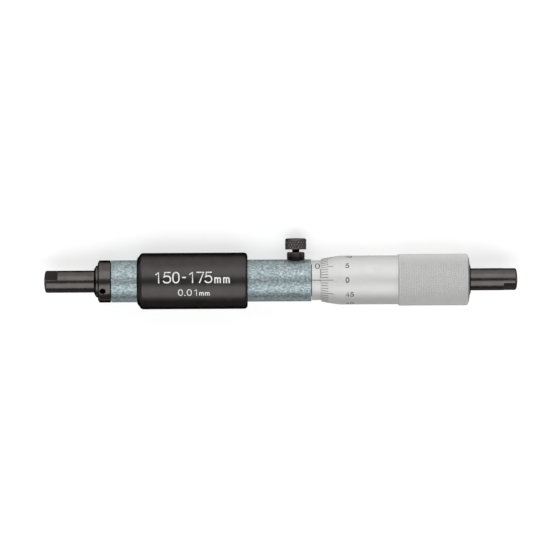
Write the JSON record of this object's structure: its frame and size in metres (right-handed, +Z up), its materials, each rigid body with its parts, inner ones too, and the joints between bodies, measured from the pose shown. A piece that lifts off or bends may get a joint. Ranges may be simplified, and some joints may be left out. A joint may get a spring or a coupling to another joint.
{
  "type": "inside micrometer",
  "caption": "Tubular inside micrometer: knurled thimble on a scale sleeve, spindle clamp, insulated grip, and two black anvils with ball-shaped ends and wrench flats.",
  "frame": {"origin": "middle of the length and width, on the table that the instrument lies on", "axes": "+X along the instrument from the fixed tip to the moving tip, +Y to the side that the clamp screw points to, +Z up"},
  "size_m": [0.15, 0.0221, 0.0179],
  "materials": {
    "hammered_enamel": "grey-blue hammered enamel",
    "grip_plastic": "satin black",
    "black_steel": "blacked, semi-gloss",
    "satin_chrome": "satin chrome plate",
    "ground_steel": "ground",
    "hard_metal": "lapped",
    "pad_brass": "turned"
  },
  "bodies": {
    "frame": {"frame_tube": "hammered_enamel", "grip": "grip_plastic", "clamp_bush": "black_steel", "inner_sleeve": "ground_steel", "scale_sleeve": "satin_chrome", "adjusting_nut": "ground_steel"},
    "ring": {"lock_ring": "black_steel"},
    "fixed_contact": {"fixed_tip": "hard_metal"},
    "fixed_rod": {"fixed_anvil": "black_steel"},
    "moving_contact": {"moving_tip": "hard_metal"},
    "thimble_group": {"thimble": "satin_chrome", "thimble_nut": "black_steel", "spindle": "ground_steel", "moving_anvil": "black_steel"},
    "pad": {"clamp_pad": "pad_brass"},
    "clamp": {"clamp_screw": "black_steel"}
  },
  "joints": [
    {"name": "spindle_travel", "type": "slide", "parent": "frame", "child": "moving_contact", "axis": [1, 0, 0], "range_m": [0, 0.025]},
    {"name": "thimble_turn", "type": "hinge", "parent": "moving_contact", "child": "thimble_group", "pos_m": [0, -0.0021, 0.00895], "axis": [1, 0, 0], "range_deg": [0, 18000]},
    {"name": "pad_travel", "type": "slide", "parent": "frame", "child": "pad", "axis": [0, -0.8856, 0.4644], "range_m": [0, 0.000225]},
    {"name": "clamp_turn", "type": "hinge", "parent": "pad", "child": "clamp", "pos_m": [0.0048, -0.0021, 0.00895], "axis": [0, -0.8856, 0.4644], "range_deg": [0, 180]},
    {"name": "anvil_travel", "type": "slide", "parent": "frame", "child": "fixed_contact", "axis": [1, 0, 0], "range_m": [-0.0005, 0.0005]},
    {"name": "anvil_turn", "type": "hinge", "parent": "fixed_contact", "child": "fixed_rod", "pos_m": [0, -0.0021, 0.00895], "axis": [1, 0, 0], "range_deg": [-360, 360]},
    {"name": "ring_turn", "type": "hinge", "parent": "frame", "child": "ring", "pos_m": [0, -0.0021, 0.00895], "axis": [1, 0, 0], "range_deg": [-180, 0]}
  ],
  "couplings": [
    {"joint": "thimble_turn", "follows": "spindle_travel", "rad_per_m": 12566},
    {"joint": "clamp_turn", "follows": "pad_travel", "rad_per_m": 13963},
    {"joint": "anvil_turn", "follows": "anvil_travel", "rad_per_m": 12566}
  ]
}
